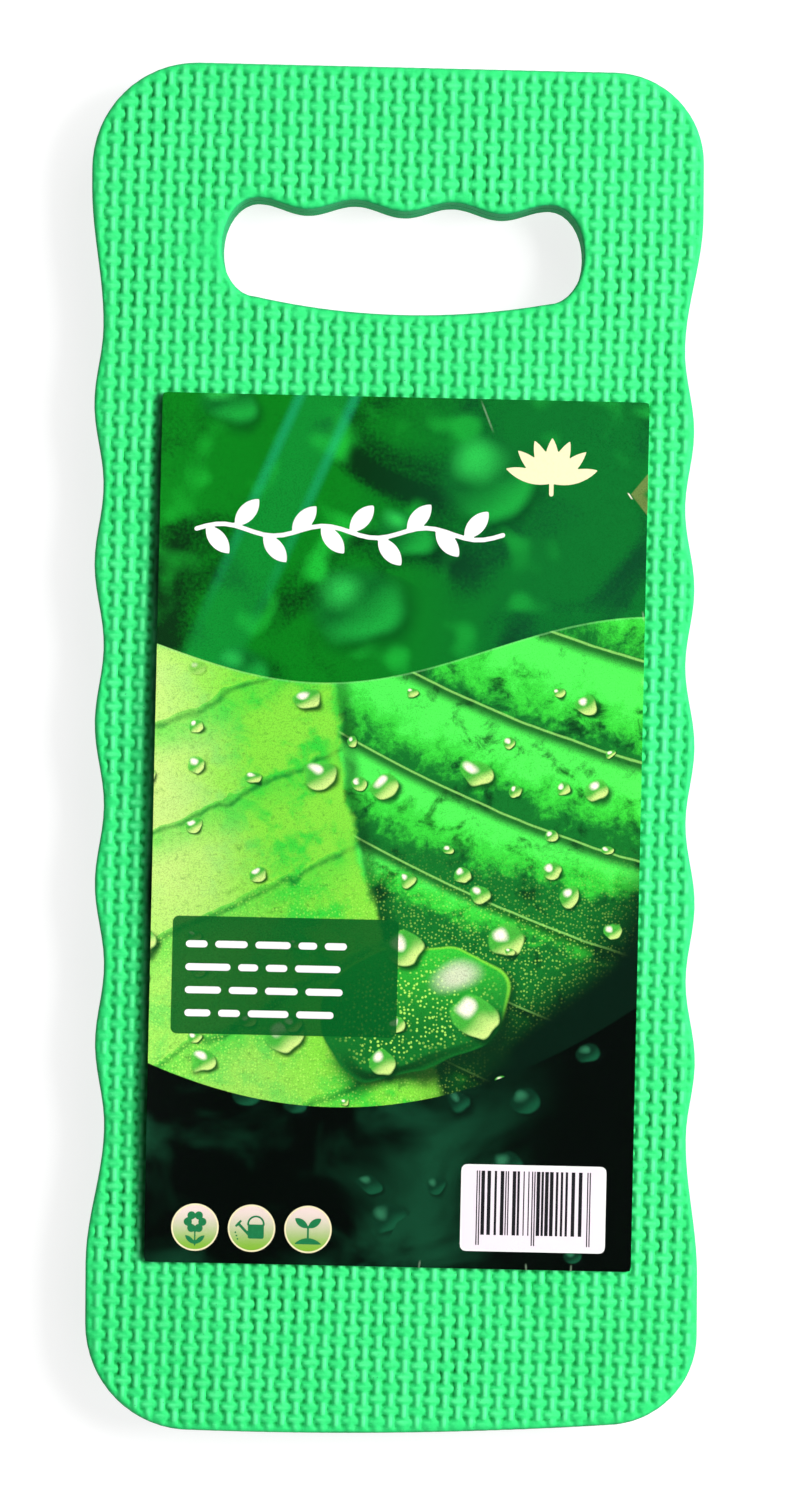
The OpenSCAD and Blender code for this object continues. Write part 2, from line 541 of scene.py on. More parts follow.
def label_layer(name, node, material, inset=0.0, raise_by=0.0, thickness=None):
    """A layer of the label over its whole outline, bent to the label's height."""
    low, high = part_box(node)
    thickness = thickness or high.z - low.z
    size = (label.width - 2 * inset, label.height - 2 * inset)
    steps = [round(length / LABEL_GRID) for length in size]
    columns, rows = (np.linspace(-length / 2, length / 2, step + 1) for length, step in zip(size, steps))
    plan, faces = clipped_grid(columns, rows, rounded_box((0, 0), size, LABEL_CORNER))
    bottom = low.z + raise_by + label_lift(plan)
    vertices, faces = closed_slab(label.to_pad(plan), faces, bottom + thickness, bottom)
    piece = make_piece(name, vertices, faces, material)
    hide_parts(node)


def ink_heights(plan, layer):
    """Bottom and top of a layer of ink on the paper. Layer 0 lies on the paper."""
    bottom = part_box("label_paper")[1].z + label_lift(plan) + (layer + 0.3) * INK
    return bottom, bottom + 0.7 * INK


def stamp(name, shape, centre, size, cell, layer, material):
    """A flat print on the label: a shape in mm of the label's plan, meshed within a box."""
    columns, rows = (
        np.linspace(middle - length / 2, middle + length / 2, round(length / cell) + 1)
        for middle, length in zip(centre, size)
    )
    plan, faces = clipped_grid(columns * MM, rows * MM, lambda points: shape(points / MM) * MM)
    bottom, top = ink_heights(plan, layer)
    vertices, faces = closed_slab(label.to_pad(plan), faces, top, bottom)
    piece = make_piece(name, vertices, faces, material)


def rows_of_bars(name, bars, layer, material):
    """Upright bars, each (left, right, bottom, top) in mm of the label's plan, as one print."""
    vertices, faces = [], []
    for left, right, low, high in bars:
        columns = np.array([left, right]) * MM
        rows = np.linspace(low, high, 9) * MM
        plan, cells = clipped_grid(columns, rows, lambda points: np.ones(len(points)))
        bottom, top = ink_heights(plan, layer)
        more_vertices, more_faces = closed_slab(label.to_pad(plan), cells, top, bottom)
        faces += [[i + len(vertices) for i in face] for face in more_faces]
        vertices += more_vertices.tolist()
    piece = make_piece(name, vertices, faces, material)


# ---- Materials ----


def feed(socket, value):
    """Gives a node's input a field, another node's output, an (r, g, b) colour or a plain value."""
    if isinstance(value, Field):
        value = value.source
    if isinstance(value, bpy.types.NodeSocket):
        socket.id_data.links.new(value, socket)
    elif socket.type == "RGBA":
        socket.default_value = (*value, 1)
    else:
        socket.default_value = value


def add_node(tree, kind, inputs=(), **settings):
    """Adds a node with its settings. Its inputs are pairs of a socket's name or number and a value."""
    node = tree.nodes.new(kind)
    for name, value in settings.items():
        setattr(node, name, value)
    for name, value in dict(inputs).items():
        feed(node.inputs[name], value)
    return node


class Field:
    """A number that varies over a surface. Arithmetic on it adds Math nodes."""

    def __init__(self, source):
        self.source = source

    def math(self, operation, *others):
        inputs = enumerate((self, *others))
        return Field(add_node(self.source.id_data, "ShaderNodeMath", inputs, operation=operation).outputs[0])

    def __add__(self, other):
        return self.math("ADD", other)

    def __sub__(self, other):
        return self.math("SUBTRACT", other)

    def __mul__(self, other):
        return self.math("MULTIPLY", other)

    def __truediv__(self, other):
        return self.math("DIVIDE", other)

    def __neg__(self):
        return self.math("MULTIPLY", -1.0)

    def __rsub__(self, other):
        return self.math("MULTIPLY_ADD", -1.0, other)

    __radd__ = __add__
    __rmul__ = __mul__

    def size(self):
        return self.math("ABSOLUTE")

    def fraction(self):
        return self.math("FRACT")

    def beside(self, other):
        """Length of the vector with this field and another as its two parts."""
        return (self * self + other * other).math("SQRT")

    def rise(self, low, high):
        """0 below low, 1 above high, and a smooth step between."""
        inputs = {"Value": self, "From Min": low, "From Max": high}
        node = add_node(self.source.id_data, "ShaderNodeMapRange", inputs, interpolation_type="SMOOTHSTEP")
        return Field(node.outputs["Result"])

    def fall(self, low, high):
        return 1.0 - self.rise(low, high)


class Finish:
    """A material under construction, with one Principled shader."""

    def __init__(self, name, roughness=0.5, specular=0.5):
        self.material = bpy.data.materials.new(name)
        self.material.use_nodes = True
        self.tree = self.material.node_tree
        self.shader = self.tree.nodes["Principled BSDF"]
        feed(self.shader.inputs["Roughness"], roughness)
        feed(self.shader.inputs["Specular IOR Level"], specular)

    def node(self, kind, inputs=(), **settings):
        return add_node(self.tree, kind, inputs, **settings)

    def place(self):
        return self.node("ShaderNodeTexCoord").outputs["Object"]

    def label_place(self):
        """Places in mm of the label's plan."""
        inputs = {"Vector": self.place(), "Location": (*label.centre, 0), "Rotation": (0, 0, label.turn)}
        inputs["Scale"] = (MM, MM, MM)
        return self.node("ShaderNodeMapping", inputs, vector_type="TEXTURE").outputs["Vector"]

    def parts(self, vector):
        return [Field(socket) for socket in self.node("ShaderNodeSeparateXYZ", {0: vector}).outputs]

    def attribute(self, name):
        return Field(self.node("ShaderNodeAttribute", attribute_name=name).outputs["Fac"])

    def noise(self, vector, size, detail=2.0, roughness=0.5, distortion=0.0, output="Fac"):
        """Random variation from 0 to 1 in lumps of about the given size, in the vector's unit."""
        inputs = {"Vector": vector, "Scale": 1 / size, "Detail": detail}
        inputs |= {"Roughness": roughness, "Distortion": distortion}
        return Field(self.node("ShaderNodeTexNoise", inputs).outputs[output])

    def cells(self, vector, size, dimensions="3D", randomness=1.0):
        """A random cell pattern: the node, whose outputs are Distance, Color and Position."""
        inputs = {"Vector": vector, "Scale": 1 / size, "Randomness": randomness}
        return self.node("ShaderNodeTexVoronoi", inputs, voronoi_dimensions=dimensions)

    def vector(self, operation, *inputs):
        return self.node("ShaderNodeVectorMath", enumerate(inputs), operation=operation).outputs[0]

    def blend(self, below, over, amount):
        """Lays one colour over another. Each is a colour socket or an (r, g, b) value."""
        inputs = {"Factor": amount, "A": below, "B": over}
        return self.node("ShaderNodeMix", inputs, data_type="RGBA", clamp_factor=True).outputs["Result"]

    def bump(self, height, depth, shader):
        node = self.node("ShaderNodeBump", {"Distance": depth, "Height": height})
        feed(shader.inputs["Normal"], node.outputs["Normal"])

    def show(self, colour, roughness=None, bump=None, bump_depth=0.1 * MM):
        """Connects the surface's colour and, where they vary, its roughness and bump height."""
        feed(self.shader.inputs["Base Color"], colour)
        if roughness is not None:
            feed(self.shader.inputs["Roughness"], roughness)
        if bump is not None:
            self.bump(bump, bump_depth, self.shader)
        return self.material


# Greens of the foam's pits, body, crests and cut walls. The pit and crest greens paint shade into the hollows
# and a highlight onto the crests.
# The cut walls' green is darker than the skin's, partly for the open cells and partly as painted shade.
TOP_GREENS = ((0.001, 0.35, 0.062), (0.022, 0.61, 0.155), (0.088, 0.80, 0.275), (0.014, 0.33, 0.125))
BOTTOM_GREENS = ((0.001, 0.34, 0.060), (0.021, 0.59, 0.150), (0.085, 0.78, 0.265), (0.012, 0.31, 0.118))
SEAM = (0.003, 0.06, 0.030)
# Near-black green of the painted shadow beside the label's lifted left edge
PAINTED_EDGE_SHADOW = (0.002, 0.022, 0.008)


def foam_finish(name, pit, body, crest, wall):
    """Closed-cell EVA: a satin embossed skin with painted shade in its pits and a painted highlight on its
    crests, and open cells on the cut walls.
    """
    finish = Finish(name, specular=0.15)
    place = finish.place()
    relief = finish.attribute("relief")
    on_wall = finish.attribute("wall")
    # Painted shade and painted highlight: the colour darkens into the pits and brightens onto the crests with
    # the relief's height
    colour = finish.blend(pit, body, relief.rise(-0.05, 0.60))
    colour = finish.blend(colour, crest, relief.rise(0.66, 1.0))
    cloud = finish.noise(place, 45 * MM, detail=3.0)
    colour = finish.blend(colour, pit, cloud.fall(0.30, 0.52) * 0.22)
    mottle = finish.noise(place, 1.5 * MM, detail=4.0, roughness=0.65)
    colour = finish.blend(colour, crest, mottle.rise(0.5, 0.75) * 0.26)
    colour = finish.blend(colour, pit, mottle.fall(0.28, 0.5) * 0.24)
    pore = Field(finish.cells(place, 0.45 * MM).outputs["Distance"])
    # The wall green is darker partly for the open cells and partly as painted shade of walls that face away
    # from the light
    wall_colour = finish.blend(wall, pit, pore.rise(0.25, 0.7) * 0.35)
    wall_colour = finish.blend(wall_colour, SEAM, relief.fall(0.1, 0.45) * on_wall)
    colour = finish.blend(colour, wall_colour, on_wall)
    specks = finish.noise(place, 0.9 * MM, detail=1.0)
    colour = finish.blend(colour, (0.01, 0.12, 0.05), specks.rise(0.76, 0.8) * 0.55)
    # Painted shadow: the skin turns near black beside the label's lifted left edge
    colour = finish.blend(colour, PAINTED_EDGE_SHADOW, finish.attribute("painted_edge_shadow") * 0.9)
    grain = finish.noise(place, 0.28 * MM)
    rough = 0.5 + 0.16 * grain + 0.16 * on_wall
    height = 0.35 * grain + 0.3 * mottle + on_wall * (0.9 - pore)
    return finish.show(colour, rough, height, 0.12 * MM)


def adhesive_finish():
    """Dull cream adhesive, greyed where it has picked up dust and foam."""
    finish = Finish("dull_adhesive", roughness=0.75, specular=0.3)
    place = finish.place()
    dust = finish.noise(place, 6 * MM, detail=4.0)
    ribs = finish.noise(place, 1.4 * MM)
    colour = finish.blend((0.68, 0.66, 0.52), (0.30, 0.42, 0.28), dust.rise(0.45, 0.75) * 0.6)
    return finish.show(colour, 0.65 + 0.25 * ribs, ribs, 0.05 * MM)


def film_finish():
    """Clear gloss film: straight-through apart from its faint reflections."""
    finish = Finish("clear_gloss_film")
    finish.tree.nodes.remove(finish.shader)
    clear = finish.node("ShaderNodeBsdfTransparent")
    gloss = finish.node("ShaderNodeBsdfGlossy", {"Roughness": 0.16})
    finish.bump(finish.noise(finish.place(), 14 * MM), 0.1 * MM, gloss)
    facing = Field(finish.node("ShaderNodeLayerWeight").outputs["Facing"])
    mirror = facing.math("POWER", 5.0) * 0.6 + 0.008
    mix = finish.node("ShaderNodeMixShader", enumerate((mirror, clear.outputs[0], gloss.outputs[0])))
    feed(finish.tree.nodes["Material Output"].inputs["Surface"], mix.outputs[0])
    return finish.material


def ink_finish(name, colour, faded):
    """Solid ink with a faint print mottle."""
    finish = Finish(name, specular=0.2)
    mottle = finish.noise(finish.place(), 0.8 * MM, detail=3.0)
    return finish.show(finish.blend(colour, faded, mottle.rise(0.4, 0.8) * 0.5))


def shaded_ink_finish(name, high, low, middle, half_height):
    """Ink that shades from one colour at the top to another at the bottom, around a height q in mm."""
    finish = Finish(name, specular=0.2)
    place = finish.label_place()
    q = finish.parts(place)[1]
    mottle = finish.noise(place, 0.8, detail=3.0)
    share = (q - (middle - half_height)) / (2 * half_height) + 0.1 * (mottle - 0.5)
    return finish.show(finish.blend(low, high, share.rise(0.0, 1.0)))


LIME = (0.205, 0.645, 0.048)
CREAM = (0.56, 0.68, 0.22)
LEAF_GREEN = (0.036, 0.56, 0.040)
BRIGHT_GREEN = (0.075, 0.78, 0.085)
DEEP_GREEN = (0.006, 0.15, 0.020)
SHADE = (0.002, 0.022, 0.007)
PALE_VEIN = (0.34, 0.80, 0.17)
SPARK_YELLOW = (0.46, 0.85, 0.13)
DROP_INKS = ((0.002, 0.035, 0.008), (0.07, 0.50, 0.05), (0.62, 0.80, 0.24), (0.96, 0.88, 0.72))

# Layout of the label's picture, in mm of its plan
BIG_DROP_CENTRE = (7.0, -50.0)
BIG_DROP_HALF_SIZE = (27.0, 19.0)
BAND_MIDDLE = 50.5
BAND_SWING = 10.0
BAND_TROUGH = -21.7
BAND_HALF_WAVE = 92.0
FOOT_TROUGH = (-15.7, -75.8)
FOOT_BEND = 0.0043
PANEL_CENTRE = (-29.9, -40.3)
PANEL_HALF_SIZE = (31.0, 16.2)
PANEL_CORNER = 1.8


def leaf_picture(finish, place, p, q):
    """A close view of a green leaf: a pale blade left of the midrib and a veined one right of it."""
    lumps = finish.noise(place, 17.0, detail=3.0, distortion=0.6)
    swirl = finish.noise(place, 6.5, detail=5.0, roughness=0.65, distortion=0.4)
    fine = finish.noise(place, 1.3, detail=4.0, roughness=0.7)
    fall = 45.0 - q
    midrib = fall * 0.10 + fall * fall * 0.0016 - 22.0 + 6.0 * lumps
    across = p - midrib

    patches = lumps * 0.55 + swirl * 0.55 + fine * 0.16
    pale = finish.blend(LIME, LEAF_GREEN, patches.rise(0.58, 0.76))
    cream = (10.0 * swirl + 14.0 * lumps - across - 34.0).rise(0.0, 34.0)
    pale = finish.blend(pale, CREAM, cream * (0.25 + 0.55 * q.rise(-55.0, 0.0)))
    side_vein = ((q - 0.45 * across) / 27.0 + 0.22 * lumps).fraction()
    pale = finish.blend(pale, LEAF_GREEN, side_vein.rise(0.55, 0.93) * (swirl + 0.1))
    crease = side_vein.rise(0.90, 0.95) * swirl * side_vein.fall(0.95, 1.0) * 1.2
    pale = finish.blend(pale, DEEP_GREEN, crease)
    pale = finish.blend(pale, DEEP_GREEN, swirl.fall(0.28, 0.38) * 0.5)
    pale = finish.blend(pale, DEEP_GREEN, fine.fall(0.30, 0.48) * 0.35)

    vein = (q + 0.60 * across - 0.0020 * across * across) / 29.0 + 0.12 * lumps
    turn = vein.fraction()
    lit = turn + 1.1 * (swirl - 0.5) + 0.45 * (fine - 0.5) + 0.30 * q.rise(-35.0, 40.0) - 0.12
    lit = lit - 0.55 * q.fall(-45.0, 0.0)
    blade = finish.blend(DEEP_GREEN, LEAF_GREEN, lit.rise(0.16, 0.52))
    blade = finish.blend(blade, BRIGHT_GREEN, lit.rise(0.45, 0.85))
    blade = finish.blend(blade, SHADE, turn.rise(0.84, 0.97) * 0.85)
    blade = finish.blend(blade, SHADE, (swirl * 0.65 + lumps * 0.35).fall(0.34, 0.48) * 0.85)
    line = (turn - 0.5).size().rise(0.482, 0.495)
    blade = finish.blend(blade, PALE_VEIN, line * 0.6)

    colour = finish.blend(pale, blade, (across + 5.0 * (swirl - 0.5)).rise(-1.2, 1.2))
    ridge = across.fall(-2.2, -0.2) - across.fall(-6.0, -2.2)
    colour = finish.blend(colour, LIME, ridge * 0.6)
    groove = across.fall(2.0, 6.0) - across.fall(-0.5, 1.4)
    return finish.blend(colour, SHADE, groove * swirl * 1.1)


def dew(finish, below, place, inks, spacing, radius, share, shift, blur=0.08, strength=1.0):
    """Water drops in a share of the cells of a random pattern, each with a shadow, a glow and a highlight."""
    shade, body, glow, spark = inks
    bend = finish.noise(place, radius / 0.7, detail=1.0, output="Color")
    bent = finish.vector("MULTIPLY_ADD", bend, (0.9 * radius, 0.9 * radius, 0), place)
    shifted = finish.vector("ADD", bent, (shift, 3.7 * shift, 0))
    cell = finish.cells(shifted, spacing, "2D", randomness=0.75)
    x, y, _ = finish.parts(finish.vector("SUBTRACT", shifted, cell.outputs["Position"]))
    chance, scale, _ = finish.parts(cell.outputs["Color"])
    wet = chance.rise(1.0 - share, 1.0 - share + 0.01) * strength
    reach = radius * (0.45 + 0.55 * scale)
    x, y = x / reach, y / (reach * 0.86)
    shadow = (x - 0.22).beside(y + 0.26).fall(0.9 - blur, 1.2 + blur) * wet
    colour = finish.blend(below, shade, shadow * 0.9)
    inside = x.beside(y).fall(1.0 - blur, 1.0 + blur) * wet
    colour = finish.blend(colour, body, inside * 0.75)
    warm = (x * 0.6 - y * 0.8).rise(-0.1, 0.8)
    colour = finish.blend(colour, glow, inside * warm * 0.9)
    light = (x + 0.30).beside(y - 0.38).fall(0.22 - blur, 0.48 + blur) * wet
    return finish.blend(colour, spark, light)


def sparkle(finish, below, place, spacing, amount):
    """Fine yellow points of light, one in some of the cells of a random pattern."""
    cell = finish.cells(place, spacing, "2D")
    dot = Field(cell.outputs["Distance"])
    chance, size, _ = finish.parts(cell.outputs["Color"])
    lit = (dot - 0.16 * size).fall(0.05, 0.26) * chance.rise(0.25, 0.55)
    return finish.blend(below, SPARK_YELLOW, lit * amount)


def big_drop(finish, below, place, p, q):
    """One big drop of water on the leaf, with the light caught along its upper right side."""
    wobble = finish.noise(place, 22.0, detail=1.0)
    centre_p, centre_q = BIG_DROP_CENTRE
    half_length, half_width = BIG_DROP_HALF_SIZE
    p, q = p - centre_p, q - centre_q
    x, y = (p * 0.92 + q * 0.38) / half_length, (q * 0.92 - p * 0.38) / half_width
    edge = x.beside(y) + 0.9 * (wobble - 0.5)
    shadow = (x - 0.03).beside(y + 0.16) + 0.9 * (wobble - 0.5)
    colour = finish.blend(below, SHADE, shadow.fall(0.9, 1.12) * 0.92)
    inside = edge.fall(0.97, 1.0)
    depth = finish.blend(DEEP_GREEN, LEAF_GREEN, (y + 0.5 * x + 0.5 * wobble).rise(-0.1, 1.7))
    colour = finish.blend(colour, depth, inside)
    colour = sparkle(finish, colour, place, 1.15, inside * edge.fall(0.5, 1.0) * 0.9)
    pool = (edge - 0.90).size().fall(0.02, 0.10) * (-y - 0.3 * x).rise(0.2, 0.9)
    colour = finish.blend(colour, SHADE, pool * 0.9)
    gleam = (x - 0.50).beside((y - 0.30) * 1.1) + 0.5 * (wobble - 0.5)
    colour = finish.blend(colour, (0.66, 0.68, 0.50), gleam.fall(0.12, 0.36) * inside * 0.85)
    rim = (edge - 0.985).size().fall(0.0, 0.035) * (y + x * 0.5).rise(-0.3, 0.5)
    return finish.blend(colour, LIME, rim * 0.9)


def blurred_backdrop(finish, place, p, q):
    """Out-of-focus leaves behind the upper band: soft blotches and a slanting blade of grass."""
    wide = finish.noise(place, 34.0, distortion=0.8)
    small = finish.noise(place, 13.0, detail=1.0)
    grain = finish.noise(place, 0.9)
    depth = wide + 0.20 * (grain - 0.2)
    colour = finish.blend((0.001, 0.024, 0.004), (0.002, 0.18, 0.009), depth.rise(0.39, 0.60))
    colour = finish.blend(colour, (0.011, 0.44, 0.034), small.rise(0.54, 0.76) * 0.9)
    colour = finish.blend(colour, (0.003, 0.09, 0.030), p.rise(-25.0, 40.0) * 0.5)
    drops = ((0.0, 0.020, 0.006), (0.004, 0.17, 0.025), (0.014, 0.46, 0.055), (0.030, 0.62, 0.09))
    colour = dew(
        finish, colour, place, drops, spacing=38, radius=13, share=0.7, shift=19, blur=0.26, strength=0.65
    )
    slant = p + 38.0 - 0.42 * (q - 80.0)
    blade = slant.size().fall(5.5, 10.5)
    colour = finish.blend(colour, (0.006, 0.27, 0.045), blade * 0.4)
    edge = (slant.size() - 7.6).size().fall(0.0, 2.6) * q.rise(45.0, 115.0)
    return finish.blend(colour, (0.012, 0.38, 0.17), edge * 0.45)


def label_finish():
    """The label's print: a leaf picture between a dark wavy band and a near-black foot."""
    finish = Finish("printed_paper", specular=0.02)
    place = finish.label_place()
    p, q, _ = finish.parts(place)
    colour = leaf_picture(finish, place, p, q)
    colour = sparkle(finish, colour, place, 0.95, q.fall(-35.0, 0.0) * 0.5)
    beyond = (p * 0.86 - q * 0.78 - 3.0 * (q * 0.13).math("SINE")).rise(59.0, 79.0)
    colour = finish.blend(colour, (0.001, 0.010, 0.005), beyond)
    colour = big_drop(finish, colour, place, p, q)
    colour = dew(finish, colour, place, DROP_INKS, spacing=25, radius=6.0, share=0.55, shift=11)
    colour = dew(finish, colour, place, DROP_INKS, spacing=14, radius=2.7, share=0.40, shift=5)

    edge = BAND_MIDDLE - BAND_SWING * ((p - BAND_TROUGH) * (math.pi / BAND_HALF_WAVE)).math("COSINE")
    backdrop = blurred_backdrop(finish, place, p, q)
    colour = finish.blend(colour, backdrop, (q - edge).rise(-0.12, 0.12))
    colour = finish.blend(colour, (0.20, 0.62, 0.20), (q - edge + 0.2).size().fall(0.1, 0.4) * 0.35)

    from_trough = p - FOOT_TROUGH[0]
    foot = from_trough * from_trough * FOOT_BEND + FOOT_TROUGH[1]
    haze = finish.noise(place, 30.0, detail=4.0, distortion=0.5)
    glow = haze.rise(0.45, 0.74) * p.fall(10.0, 52.0)
    shadow = finish.blend((0.0003, 0.001, 0.001), (0.005, 0.055, 0.024), glow)
    drops = ((0.001, 0.004, 0.003), (0.003, 0.040, 0.018), (0.008, 0.105, 0.045), (0.03, 0.19, 0.09))
    shadow = dew(
        finish, shadow, place, drops, spacing=19, radius=5.5, share=0.55, shift=31, blur=0.14, strength=0.75
    )
    colour = finish.blend(colour, shadow, (foot - q).rise(-0.12, 0.12))

    beyond_p, beyond_q = (
        ((axis - middle).size() - (half - PANEL_CORNER)).math("MAXIMUM", 0.0)
        for axis, middle, half in zip((p, q), PANEL_CENTRE, PANEL_HALF_SIZE)
    )
    panel = beyond_p.beside(beyond_q).fall(PANEL_CORNER - 0.15, PANEL_CORNER + 0.05)
    colour = finish.blend(colour, (0.001, 0.095, 0.014), panel * 0.96)
    colour = white_wrinkles(finish, colour, p, q)
    colour = dog_ear(finish, colour, p, q)
    grain = finish.noise(place, 0.32)
    colour = finish.blend(colour, (0.0, 0.01, 0.0), grain.fall(0.30, 0.56) * 0.30)
    return finish.show(colour)


def dog_ear(finish, below, p, q):
    """The folded right edge catches the light, with a pale tick at the point of the fold."""
    ear_height, ear_depth = DOG_EAR
    point = label.width / 2 / MM - ear_depth
    fold = p - point - 0.8 * (q - ear_height).size()
    colour = finish.blend(below, (0.20, 0.26, 0.07), fold.rise(0.0, 0.5) * fold.fall(2.5, 5.0) * 0.7)
    tick = (p - point + (q - ear_height + 0.5) * 0.7).size().fall(0.08, 0.35)
    tick = tick * (q - ear_height + 0.5).size().fall(0.5, 1.0)
    return finish.blend(colour, (0.80, 0.80, 0.62), tick)


def white_wrinkles(finish, below, p, q):
    """Pale streaks along the wrinkles: partly the paper showing through the ink, partly a painted highlight
    on the creases.
    """
    colour = below
    for (x, y), heading, length, _ in WRINKLES:
        cosine, sine = math.cos(math.radians(heading)), math.sin(math.radians(heading))
        dx, dy = p - x, q - y
        along = dx * cosine + dy * sine
        across = dy * cosine - dx * sine
        streak = across.size().fall(0.05, 0.4) * along.size().fall(length * 0.2, length * 0.6)
        # Pale streak: paper through the ink and a painted highlight along the crease
        colour = finish.blend(colour, (0.40, 0.58, 0.38), streak * 0.3)
    return colour


# ---- Prints on the label, in mm of its plan ----

PICTOGRAM_ROW = -109.5
PICTOGRAM_CENTRES = (-53.0, -37.5, -22.0)
PICTOGRAM_RADIUS = 6.5
BARCODE_CENTRE = (39.6, -102.5)
BARCODE_SIZE = (39.8, 23.8)
BAR_MODULE = 0.33
BAR_MODULES = 95
BAR_HEIGHT = 17.6
GUARD_HEIGHT = 20.4
VINE_ENDS = (-56.7, 27.3)
VINE_ROW = 82.0
SPRIG_CENTRE = (40.3, 101.5)
DASH_ENDS = (-56.2, -3.2)
DASH_ROWS = (-31.8, -38.1, -44.4, -50.7)

# Boxes that hold three of the prints: the centre and the size of each
VINE_BOX = ((-13.7, VINE_ROW), (94.0, 22.0))
SPRIG_BOX = (SPRIG_CENTRE, (32.0, 22.0))
DASH_BOX = ((-29.7, -41.3), (58.0, 24.0))


def flower(x, y):
    petals = [
        disc((x + 2.0 * math.cos(turn), y + 1.5 + 2.0 * math.sin(turn)), 1.12)
        for turn in np.arange(6) * math.pi / 3
    ]
    heart = disc((x, y + 1.5), 0.85)
    stem = capsule((x, y - 0.4), (x, y - 4.9), 0.2)
    leaves = [leaf((x, y - 4.6), (x + side * 2.7, y - 2.2), 1.3) for side in (-1, 1)]
    return union(without(union(*petals), heart), stem, *leaves)


def watering_can(x, y):
    can = rounded_box((x + 1.2, y - 0.9), (4.4, 3.9), 0.5)
    spout = capsule((x - 0.6, y - 1.9), (x - 3.6, y + 1.2), 0.36)
    rose = capsule((x - 4.2, y + 0.6), (x - 3.0, y + 1.9), 0.3)
    ring = without(disc((x + 1.2, y + 1.1), 2.4), disc((x + 1.2, y + 1.1), 1.9))
    drops = [disc((x - 4.4 + 0.3 * i, y - 1.2 - 0.9 * i), 0.26) for i in range(3)]
    return union(can, spout, rose, overlap(ring, above(y + 0.8)), *drops)


def sprout(x, y):
    stem = capsule((x, y - 2.9), (x, y + 0.6), 0.26)
    leaves = [leaf((x, y + 0.4), (x + side * 3.6, y + 3.0), 2.0) for side in (-1, 1)]
    ground = overlap(disc((x, y - 7.4), 5.0), above(y - 4.1))
    return union(stem, ground, *leaves)


def vine(left, right, y):
    """A waving stem with a row of leaves that point up and down by turns."""
    xs = np.linspace(left, right, 33)
    stem_y = y + 1.5 * np.sin((xs - left) * 2 * math.pi / (right - left) * 3)
    stem = [capsule(start, end, 0.6) for start, end in zip(zip(xs, stem_y), zip(xs[1:], stem_y[1:]))]
    leaves = []
    for i, (x, base) in enumerate(zip(xs[1:-2:3], stem_y[1:-2:3])):
        side = 1 if i % 2 else -1
        leaves.append(leaf((x, base), (x + 6.4, base + side * 7.4), 4.6))
    return union(*stem, *leaves)


def sprig(x, y):
    """Seven leaves fanned out on a short stem."""
    stem = capsule((x, y - 8.0), (x, y - 3.0), 0.6)
    spread = [math.radians(angle) for angle in np.linspace(6, 174, 7)]
    reach = [13.0 - 3.0 * abs(math.sin(angle)) for angle in spread]
    root = np.array([x, y - 5.0])
    leaves = [
        leaf(root, root + [length * math.cos(angle), length * math.sin(angle) + 2.5], 3.7)
        for angle, length in zip(spread, reach)
    ]
    return union(stem, *leaves)


def dashed_lines(left, right, rows):
    """Rows of dashes in place of a few lines of print."""
    rng = np.random.default_rng(11)
    dashes = []
    for y in rows:
        x = left
        while x < right - 14.0:
            length = rng.uniform(3.0, 11.0)
            dashes.append(capsule((x, y), (x + length, y), 0.95))
            x += length + 4.0
    return union(*dashes)


def plain_bars():
    """Bars of random widths in the usual panel. They code no number."""
    rng = np.random.default_rng(7)
    left = BARCODE_CENTRE[0] - BAR_MODULE * BAR_MODULES / 2
    top = BARCODE_CENTRE[1] + GUARD_HEIGHT / 2
    bars = []

    def add(start, modules, height):
        x = left + start * BAR_MODULE
        bars.append((x, x + modules * BAR_MODULE, top - height, top))

    for start in (0, 46, 92):
        add(start, 1, GUARD_HEIGHT)
        add(start + 2, 1, GUARD_HEIGHT)
    for first, last in ((4, 44), (50, 90)):
        at = first
        while at < last:
            modules = int(rng.integers(1, 4))
            add(at, min(modules, last - at), BAR_HEIGHT)
            at += modules + int(rng.integers(1, 4))
    return bars


